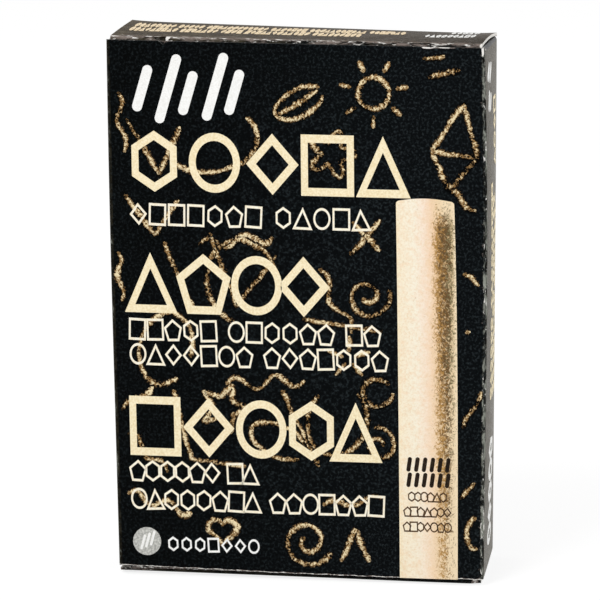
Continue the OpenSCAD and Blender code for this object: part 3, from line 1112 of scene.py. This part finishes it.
def bar(k, panel, start, end, width, out):
    """A bar of ink with round ends, between two points across and up a panel."""
    start, way = np.array(start, float), np.subtract(end, start)
    size, r = np.linalg.norm(way), width / 2
    way = way / size
    arc = np.linspace(0, np.pi / 2, 7)
    between = np.linspace(0, size, max(3, int(size / 1.2)))[1:-1]
    along = np.concatenate([-r * np.cos(arc), between, size + r * np.sin(arc)])[:, None]
    half = np.concatenate([r * np.sin(arc), np.full(len(between), r), r * np.cos(arc)])
    off = np.maximum(half, 0.02 * r)[:, None] * np.linspace(-1, 1, 5)
    across = start[0] + along * way[0] - off * way[1]
    return ink_sheet(k, panel, across, start[1] + along * way[1] + off * way[0], out)


def bars(k, name, places, ink, out, panel="front"):
    """Prints several bars of one ink as one piece: start, end and width of each."""
    parts = [bar(k, panel, start, end, width, out) for start, end, width in places]
    ridden(card_piece(k, name, joined(parts), ink))


def stick_field(k, x, z0, z1, lean):
    """The field of ink of a printed stick about 9.4 mm wide, narrower at its crown and rounded
    at its upper end, and marks for how far across and down it each point lies."""
    r, tall = 0.75, z1 - z0
    curve = r * (1 - np.cos(np.radians(np.linspace(0, 90, 10))))
    down = [curve, np.linspace(r, tall - r, 60)[1:-1], tall - curve[::-1]]
    down = np.concatenate(down)[:, None]
    share, left = np.linspace(-1, 1, 41), 1 - down / tall
    half = 4.72 - 0.19 * left**3
    width = half - r + np.sqrt(np.maximum(r * r - np.maximum(0, r - down) ** 2, 0))
    up = z1 - down - 0.38 * share**2 * np.exp(-down)
    part = ink_sheet(k, "front", x - lean * left**1.6 + width * share, up, 0.032)
    marks = {"across": share, "along": down / tall}
    return part, {name: np.broadcast_to(value, up.shape) for name, value in marks.items()}


# ---- lines of the drawn figures, in mm across and up a panel -----------------


def polar(x, z, r, angle):
    """Points round a centre, from how far out they lie and their angles in radians."""
    return list(zip(x + r * np.cos(angle), z + r * np.sin(angle)))


def oval(x, z, rx, rz=None, first=0, last=360, lean=0):
    angle, tilt = np.radians(np.linspace(first, last, 40)), math.radians(lean)
    dx, dz = rx * np.cos(angle), (rz or rx) * np.sin(angle)
    across = x + dx * math.cos(tilt) - dz * math.sin(tilt)
    return list(zip(across, z + dx * math.sin(tilt) + dz * math.cos(tilt)))


def coil(x, z, r0, r1, turns, first=0):
    share = np.linspace(0, 1, int(24 * turns))
    return polar(x, z, r0 + (r1 - r0) * share, np.radians(first) + share * turns * 2 * np.pi)


def wave(x0, z0, x1, z1, depth, swings):
    share = np.linspace(0, 1, int(14 * swings))
    dx, dz = x1 - x0, z1 - z0
    off = depth * np.sin(share * swings * 2 * np.pi) / math.hypot(dx, dz)
    return list(zip(x0 + dx * share - dz * off, z0 + dz * share + dx * off))


def bloom(x, z, r, petals, deep=0.35):
    angle = np.linspace(0, 2 * np.pi, 60)
    return polar(x, z, r * (1 - deep + deep * np.cos(petals * angle)), angle)


def heart(x, z, size):
    a = np.linspace(0, 2 * np.pi, 50)
    dx = 16 * np.sin(a) ** 3
    dz = 13 * np.cos(a) - 5 * np.cos(2 * a) - 2 * np.cos(3 * a) - np.cos(4 * a)
    return list(zip(x + dx * size / 32, z + dz * size / 32))


def rays(x, z, r0, r1, count, first=0):
    ends = np.array([r0, r1])
    return [polar(x, z, ends, math.radians(first + 360 * i / count)) for i in range(count)]


def star(x, z, r, first=90):
    step = np.arange(11)
    return polar(x, z, np.where(step % 2, 0.42 * r, r), np.radians(first + 36 * step))


def front_drawing():
    """A child's board of drawn figures behind the print."""
    return [
        # upper band: sun, leaf, dashes and a kite with its tail
        oval(12.6, 79.4, 2.5),
        *rays(12.6, 79.4, 3.6, 5.6, 7, 12),
        [(20.4, 85.0), (23.8, 85.4)],
        [(21.2, 82.0), (26.2, 83.4)],
        oval(0.8, 77.6, 4.3, 2.1, 20, 340, 28),
        [(-2.6, 75.5), (3.8, 79.6)],
        wave(-28.4, 78.6, -27.4, 69.0, 0.6, 1.5),
        [(21.6, 70.4), (26.6, 78.0), (28.8, 69.4), (24.2, 64.4), (21.6, 70.4)],
        [(21.6, 70.4), (28.8, 69.4)],
        wave(24.2, 64.2, 28.4, 61.0, 0.5, 1),
        # behind the first row
        oval(-13.4, 71.2, 7.6, 5.0, 195, 395, 10),
        bloom(6.0, 69.6, 3.9, 5, 0.28),
        [(-27.0, 74.4), (-21.8, 65.6), (-18.4, 73.4)],
        # between the first and second rows
        [(-27.6, 62.2), (-22.8, 55.8), (-18.8, 61.6)],
        wave(-15.6, 54.4, -3.6, 56.0, 0.9, 2),
        [(8.8, 53.4), (13.6, 59.2)],
        [(9.0, 58.8), (13.4, 54.2)],
        coil(11.4, 46.8, 0.6, 3.7, 1.5, 200),
        wave(-28.8, 53.0, -28.4, 45.0, 0.4, 1.5),
        [(-14.0, 56.4), (-9.6, 44.8), (-3.2, 53.0)],
        oval(-8.6, 48.4, 5.8, 7.0, -40, 240, 14),
        [(-21.4, 54.8), (-16.6, 43.4)],
        wave(3.6, 51.0, 8.8, 40.8, 0.9, 1.5),
        # between the second and third rows
        oval(-21.4, 37.4, 4.2, 6.0, 0, 320, -18),
        wave(-11.6, 31.8, 1.2, 33.0, 1.0, 2),
        *rays(8.4, 36.8, 1.0, 3.6, 5, 18),
        [(1.0, 42.9), (13.8, 41.2)],
        oval(13.0, 31.2, 2.4, 2.2, 40, 360),
        # behind the third row
        star(-12.0, 28.0, 4.2, 70),
        oval(6.4, 26.4, 4.8, 5.8, 150, 430, -20),
        [(-20.4, 30.8), (-17.6, 19.4), (-8.6, 18.4)],
        wave(-28.0, 23.2, -21.6, 17.0, 0.9, 1.5),
        [(-2.6, 31.2), (3.4, 18.8)],
        wave(-28.8, 27.0, -23.6, 31.2, 0.5, 1),
        coil(13.2, 22.6, 0.7, 2.9, 1.3),
        oval(-3.2, 22.8, 4.8, 2.6, 30, 330, -24),
        # lower band
        wave(-28.4, 13.2, -17.6, 10.4, 0.9, 2),
        heart(-12.6, 7.6, 4.8),
        coil(1.4, 6.2, 0.8, 4.2, 1.6, 120),
        [(6.8, 3.0), (9.2, 8.6), (11.4, 3.2)],
        wave(4.0, 12.2, 13.6, 13.8, 0.7, 1.5),
        # beside the printed stick
        [(26.4, 51.0), (27.8, 50.4), (28.9, 48.9)],
        [(26.8, 41.4), (27.6, 41.6)],
        wave(26.6, 25.6, 29.4, 31.8, 0.3, 1),
        [(26.2, 14.0), (28.6, 16.8)],
        oval(28.6, 8.4, 1.3, 2.6, 80, 290),
    ]


def back_drawing():
    """The same kind of drawn figures for the back, plainer and further apart."""
    return [
        wave(-24.0, 80.0, -8.0, 77.0, 1.6, 3),
        oval(0.0, 77.0, 5.0, 3.4, 0, 360, 20),
        star(12.0, 78.0, 4.6),
        coil(21.6, 72.0, 0.8, 5.4, 2.0),
        *rays(-20.0, 66.0, 1.4, 5.2, 8),
        heart(-4.0, 66.0, 8.0),
        [(8.0, 60.0), (15.0, 70.0), (18.0, 61.0), (8.0, 60.0)],
        bloom(-20.0, 51.0, 5.0, 5),
        wave(-10.0, 50.0, 8.0, 54.0, 1.6, 3),
        coil(20.0, 50.0, 0.8, 5.0, 1.8, 90),
        oval(-21.0, 36.0, 4.4, 6.2, 0, 360, -16),
        [(-10.0, 32.0), (-4.0, 41.0), (4.0, 33.0)],
        star(15.0, 36.0, 5.0),
        wave(-26.0, 22.0, -12.0, 17.0, 1.5, 3),
        heart(0.0, 22.0, 8.0),
        oval(16.0, 20.0, 5.0, 3.6, 20, 330, 25),
        coil(-20.0, 8.0, 0.8, 4.6, 1.8),
        wave(-8.0, 8.0, 10.0, 10.0, 1.4, 3),
        *rays(20.0, 8.0, 1.2, 4.4, 7, 20),
    ]


# ---- operators ---------------------------------------------------------------

# a large figure's width for its height, and a triangle's, which would look wider than the rest
SPREAD, WEDGE_SPREAD = 0.86, 0.76


class CHALKBOX_OT_sleeve(bpy.types.Operator):
    """Fold the card sleeve with its glue tab and four dust flaps"""

    bl_idname = "chalkbox.sleeve"
    bl_label = "Card Sleeve"

    def execute(self, context):
        k = Carton(context)
        flaps = [dust_flap(k, side, top) for side in (1, -1) for top in (True, False)]
        part = joined([sleeve(k), *flaps])
        finishes = ("board", "inside", "edge", "side", "fold", "inked_edge")
        ridden(card_piece(k, "card_sleeve", part, *finishes), "box", "printed_card", "carton")
        return {"FINISHED"}


class CHALKBOX_OT_lids(bpy.types.Operator):
    """Make both lids, their tuck flaps and the creases that bend between them"""

    bl_idname = "chalkbox.lids"
    bl_label = "Lids and Tuck Flaps"

    def execute(self, context):
        k = Carton(context)
        for end in ("top", "bottom"):
            top = end == "top"
            lid, flap, outside = end + "_lid", end + "_tuck_flap", "lid" if top else "underside"
            bare = ("inside", "edge")
            piece = card_piece(k, lid + "_card", lid_panel(k, top), outside, *bare)
            ridden(piece, lid, "printed_card", lid)
            piece = card_piece(k, flap + "_card", tuck_flap(k, top), "board", *bare)
            ridden(piece, flap, "printed_card", flap)
            piece = card_piece(k, lid + "_hinge_crease", crease(k, top, True), "fold", *bare)
            bend(k, piece, top, True)
            piece = card_piece(k, lid + "_tuck_crease", crease(k, top, False), outside, *bare)
            bend(k, piece, top, False)
        return {"FINISHED"}


class CHALKBOX_OT_sticks(bpy.types.Operator):
    """Stand the twelve pressed chalk sticks in their two nested rows"""

    bl_idname = "chalkbox.sticks"
    bl_label = "Chalk Sticks"

    def execute(self, context):
        k, sizes = Carton(context), context.scene.chalk_box_sticks
        stand = []
        for name in STICKS:
            low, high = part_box(name)
            stand.append(((low.x + high.x) / 2, (low.y + high.y) / 2, low.z))
        base = bpy.data.meshes.new("stick_places")
        base.from_pydata(stand, [], [])
        inputs = {key.capitalize(): getattr(sizes, key) for key in sizes.__annotations__}
        tree = bpy.data.node_groups.get("Chalk Sticks") or stick_tree()
        mesh = grown("chalk_sticks", base, tree, Material=finish(k, "chalk"), **inputs)
        ridden(show("chalk_sticks", laid(mesh, k.rack)), "box", "chalk", *STICKS)
        return {"FINISHED"}


class CHALKBOX_OT_drawing(bpy.types.Operator):
    """Print the drawn chalk strokes on the front"""

    bl_idname = "chalkbox.drawing"
    bl_label = "Drawn Strokes"

    def execute(self, context):
        strokes(Carton(context), "front_drawing", front_drawing(), "front")
        return {"FINISHED"}


class CHALKBOX_OT_figures(bpy.types.Operator):
    """Print the rows of outline figures"""

    bl_idname = "chalkbox.figures"
    bl_label = "Figure Rows"

    def execute(self, context):
        k = Carton(context)
        rng = np.random.default_rng(k.ink.seed)
        rows_of = (
            (67.7, [(-22.6, SIX), (-12.9, ROUND), (-3.6, KITE), (5.2, SQUARE), (14.0, WEDGE)]),
            (48.1, [(-23.6, WEDGE), (-15.0, FIVE), (-6.4, ROUND), (1.2, KITE)]),
            (24.6, [(-23.4, SQUARE), (-14.6, KITE), (-6.0, ROUND), (2.2, SIX), (9.4, WEDGE)]),
        )
        big = []
        for z, row in rows_of:
            for x, kind in row:
                big.append((x, z, kind, 0, WEDGE_SPREAD if kind == WEDGE else SPREAD))
        figures(k, "large_figures", big, 9.8, k.stroke, "cream")
        small = []
        for x0, x1, z, words in (
            (-26.9, 12.0, 59.15, (7, 5)),
            (-27.4, 13.6, 40.45, (5, 6, 2)),
            (-27.4, 14.8, 36.4, (7, 7)),
            (-27.7, -6.7, 17.15, (6, 2)),
            (-27.7, 14.0, 12.5, (8, 7)),
        ):
            small += word_row(rng, x0, x1, z, words)
        figures(k, "small_figures", small, 3.6, k.fine, "pale")
        return {"FINISHED"}


class CHALKBOX_OT_stick_print(bpy.types.Operator):
    """Print the picture of a stick"""

    bl_idname = "chalkbox.stick_print"
    bl_label = "Stick Picture"

    def execute(self, context):
        k = Carton(context)
        part, marks = stick_field(k, 21.17, k.front_low - 0.2, 62.83, 0.67)
        piece = card_piece(k, "stick_picture", part, "stick_print")
        for name, values in marks.items():
            mark(piece.data, name, np.tile(values.ravel(), 2))
        ridden(piece)
        return {"FINISHED"}


class CHALKBOX_OT_marks(bpy.types.Operator):
    """Print the plain bars, the tally of twelve strokes and the brown rows on the stick"""

    bl_idname = "chalkbox.marks"
    bl_label = "Bars and Tally"

    def execute(self, context):
        k = Carton(context)
        rng = np.random.default_rng(k.ink.seed + 1)
        leaning = [
            ((x - 0.6, z0), (x + (z1 - z0) * 0.3 - 0.6, z1), 1.6)
            for x, z0, z1 in (
                (-24.6, 76.4, 82.2),
                (-21.0, 74.6, 84.0),
                (-17.2, 76.0, 81.4),
                (-13.4, 75.2, 84.4),
                (-9.8, 76.2, 81.8),
            )
        ]
        bars(k, "white_bars", leaning, "white", 0.035)
        bars(k, "grey_disc", [((-25.3, 5.35), (-25.2, 5.45), 4.6)], "grey", 0.03)
        steps = [(0.8 * i, 0.35 * i) for i in range(3)]
        cut = [((-26.2 + x, 4.2 + z), (-25.6 + x, 6.3 + z), 0.42) for x, z in steps]
        bars(k, "disc_strokes", cut, "white", 0.045)
        row = word_row(rng, -22.0, -6.4, 5.1, (7,))
        figures(k, "white_row", row, 2.5, 0.36, "white")
        feet = [(18.0 + 1.24 * (i % 6), 18.75 - 2.55 * (i // 6)) for i in range(12)]
        tally = [((x - 0.12, z), (x + 0.12, z + 1.75), 0.66) for x, z in feet]
        bars(k, "tally_of_twelve", tally, "dark", 0.05)
        row = []
        for x0, x1, z, word in ((17.9, 24.0, 14.3, 6), (17.2, 24.7, 11.8, 7), (17.1, 24.8, 9.3, 7)):
            row += word_row(rng, x0, x1, z, (word,))
        figures(k, "brown_rows", row, 1.75, 0.6 * k.fine, "brown", proud=0.045)
        return {"FINISHED"}


class CHALKBOX_OT_panels(bpy.types.Operator):
    """Print the lid, the side panels and the back"""

    bl_idname = "chalkbox.panels"
    bl_label = "Other Panels"

    def execute(self, context):
        k = Carton(context)
        rng = np.random.default_rng(k.ink.seed + 2)
        row = []
        for x1, y, words in ((16.0, 4.2, (8, 5, 12, 7, 11, 7)), (9.5, -0.5, (9, 7, 4, 12, 9))):
            row += word_row(rng, -28.0, x1, y, words, 0.175)
        figures(k, "lid_rows", row, 4.4, 1.8, "gold", "lid", body="top_lid")
        row = []
        for x0, y, count in ((19.4, 1.0, 9), (22.9, 6.8, 5)):
            row += word_row(rng, x0, x0 + 0.9 * count, y, (count,), 0.19)
        figures(k, "lid_white_rows", row, 4.0, 1.3, "white", "lid", body="top_lid")

        for side, way in (("right", 1), ("left", -1)):
            kinds = (WEDGE, ROUND, KITE, SQUARE)
            tall = [(3.4 * way, 67.8 + 2.9 * i, kind, 90, 0.62) for i, kind in enumerate(kinds)]
            figures(k, side + "_column", tall, 4.4, 0.9, "cream", side)
            kinds = (ROUND, KITE, SIX, ROUND, FIVE)
            low = [(-0.8 * way, 6.2 + 3.6 * i, kind, 90, 0.52) for i, kind in enumerate(kinds)]
            figures(k, side + "_white_column", low, 7.0, 1.9, "white", side)
            small = []
            for x, words in ((-2.3, (6, 9)), (0.5, (8, 4, 2)), (3.3, (5, 9)), (6.1, (7, 6))):
                line = word_row(rng, 28.8, 28.8 + 2.3 * (sum(words) + 0.5), 0, words)
                small += [(x * way, along, kind, 90, SPREAD) for along, _, kind, _, _ in line]
            figures(k, side + "_small_rows", small, 2.5, 0.7, "cream", side)
            top = [
                ((x0 * way, z0), (x1 * way, z1), 1.4)
                for x0, z0, x1, z1 in (
                    (-6.0, 81.8, -4.2, 83.4),
                    (-3.6, 81.4, -1.6, 83.2),
                    (-5.6, 77.0, -4.8, 79.0),
                    (-3.6, 76.8, -2.6, 78.4),
                )
            ]
            bars(k, side + "_white_bars", top, "white", 0.035, side)

        strokes(k, "back_drawing", back_drawing(), "back")
        big = []
        for x0, z, kinds in (
            (-20.0, 70.0, (KITE, SIX, ROUND, WEDGE, SQUARE)),
            (-15.0, 47.0, (ROUND, FIVE, KITE, SIX)),
        ):
            big += [(x0 + 10.0 * i, z, kind, 0, SPREAD) for i, kind in enumerate(kinds)]
        figures(k, "back_large_figures", big, 9.8, k.stroke, "cream", "back")
        row = word_row(rng, -24.0, 24.0, 59.8, (7, 3, 6))
        row += word_row(rng, -24.0, 24.0, 36.8, (4, 8, 4))
        figures(k, "back_small_figures", row, 3.6, k.fine, "cream", "back")
        row = []
        rows_of = ((6, 3, 9, 5), (4, 8, 8, 3), (9, 6, 7), (5, 4, 6))
        for z, words in zip((27.0, 23.8, 20.6, 17.4), rows_of):
            row += word_row(rng, -24.0, -24.0 + 2.05 * (sum(words) + 0.6 * len(words)), z, words)
        figures(k, "back_white_rows", row, 1.9, 0.3, "white", "back")
        return {"FINISHED"}


FLOOR_SIZE, FLOOR_DROP = 4.0, 0.35 * MM  # the floor lies under the bottom lid's lowest edge
AIM = Vector((0, 0, 0.045))  # what the lights point at
CAMERA_AT, CAMERA_TURN = (0.0874, -0.5599, 0.1599), (8.958, 11.557, -0.523)


def seen_straight(node):
    """1 for rays that come from the camera, a reflection or a clear piece, and 0 for others."""
    kinds = node("LightPath").node.outputs
    seen = node("ADD", kinds["Is Camera Ray"], kinds["Is Glossy Ray"], use_clamp=True)
    return node("ADD", seen, kinds["Is Transmission Ray"], use_clamp=True)


class CHALKBOX_OT_stage(bpy.types.Operator):
    """Set the floor, the light and the camera"""

    bl_idname = "chalkbox.stage"
    bl_label = "Stage"

    def execute(self, context):
        scene, stage = context.scene, context.scene.chalk_box_stage
        scene.view_settings.view_transform = "Standard"

        mesh = bpy.data.meshes.new("floor")
        square = ((-1, -1), (1, -1), (1, 1), (-1, 1))
        spread = [(FLOOR_SIZE * x, FLOOR_SIZE * y, -FLOOR_DROP) for x, y in square]
        mesh.from_pydata(spread, [], [(0, 1, 2, 3)])
        # matt white paper: the camera and reflections see it bright, and it keeps the shadow
        material, node = finish_of("matt_white_paper")
        seen = seen_straight(node)
        plain = node("BsdfDiffuse", (0.8, 0.8, 0.8))
        shaded = node("BsdfDiffuse", (0.3, 0.3, 0.3))
        bright = node("AddShader", shaded, node("Emission", (1, 1, 1), 0.8))
        node("OutputMaterial", node("MixShader", seen, plain, bright))
        mesh.materials.append(material)
        show("floor", mesh)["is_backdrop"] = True

        world = bpy.data.worlds.new("soft_white_room")
        world.use_nodes = True
        world.node_tree.nodes.clear()
        node = partial(add, world.node_tree)
        level = node("MULTIPLY_ADD", seen_straight(node), 1.0 - stage.ambient, stage.ambient)
        node("OutputWorld", node("Background", (1, 1, 1), level))
        scene.world = world

        for name, place, size, power in (
            ("key_light", (-0.42, -0.68, 0.84), 0.5, stage.key),
            ("fill_light", (0.95, -0.4, 0.35), 0.7, stage.fill),
        ):
            data = bpy.data.lights.new(name, "AREA")
            data.size, data.energy = size, power
            lamp = show(name, data)
            lamp.location = place
            lamp.rotation_euler = (AIM - Vector(place)).to_track_quat("-Z", "Y").to_euler()

        data = bpy.data.cameras.new("camera")
        data.lens, data.sensor_width = stage.lens, 36.0
        data.clip_start, data.clip_end = 0.01, 20.0
        yaw, pitch, roll = map(math.radians, CAMERA_TURN)
        way = math.cos(pitch)
        ahead = Vector((-math.sin(yaw) * way, math.cos(yaw) * way, -math.sin(pitch)))
        right = Vector((math.cos(yaw), math.sin(yaw), 0))
        up = right.cross(ahead)
        x_axis = right * math.cos(roll) + up * math.sin(roll)
        y_axis = up * math.cos(roll) - right * math.sin(roll)
        turn = Matrix((x_axis, y_axis, -ahead)).transposed().to_4x4()
        scene.camera = show("camera", data)
        scene.camera.matrix_world = Matrix.Translation(CAMERA_AT) @ turn
        return {"FINISHED"}


class CHALKBOX_PT_panel(bpy.types.Panel):
    """Chalk box pieces and settings"""

    bl_label = "Chalk Box"
    bl_idname = "CHALKBOX_PT_panel"
    bl_space_type = "VIEW_3D"
    bl_region_type = "UI"
    bl_category = "Chalk Box"

    def draw(self, context):
        for name, (title, _) in GROUPS.items():
            box = self.layout.box()
            box.label(text=title)
            settings = getattr(context.scene, name)
            for key in settings.__annotations__:
                box.prop(settings, key)
        for operator in OPERATORS:
            self.layout.operator(operator.bl_idname)


OPERATORS = (
    CHALKBOX_OT_sleeve,
    CHALKBOX_OT_lids,
    CHALKBOX_OT_sticks,
    CHALKBOX_OT_drawing,
    CHALKBOX_OT_figures,
    CHALKBOX_OT_stick_print,
    CHALKBOX_OT_marks,
    CHALKBOX_OT_panels,
    CHALKBOX_OT_stage,
)
GROUPS = {
    "chalk_box_sizes": ("Carton", CartonSizes),
    "chalk_box_sticks": ("Sticks", StickSizes),
    "chalk_box_print": ("Print", PrintSettings),
    "chalk_box_stage": ("Stage", StageSettings),
}
CLASSES = (*(group for _, group in GROUPS.values()), *OPERATORS, CHALKBOX_PT_panel)


def register():
    for cls in CLASSES:
        bpy.utils.register_class(cls)
    for name, (_, group) in GROUPS.items():
        setattr(bpy.types.Scene, name, PointerProperty(type=group))


def unregister():
    for name in GROUPS:
        delattr(bpy.types.Scene, name)
    for cls in CLASSES[::-1]:
        bpy.utils.unregister_class(cls)


def corners():
    bpy.context.view_layer.update()
    return [list(corner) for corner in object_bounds()]


def main():
    sizes = {"cad": corners()}
    register()
    for operator in OPERATORS:
        group, name = operator.bl_idname.split(".")
        getattr(getattr(bpy.ops, group), name)()
    sizes["visual"] = corners()


if __name__ == "__main__":
    main()
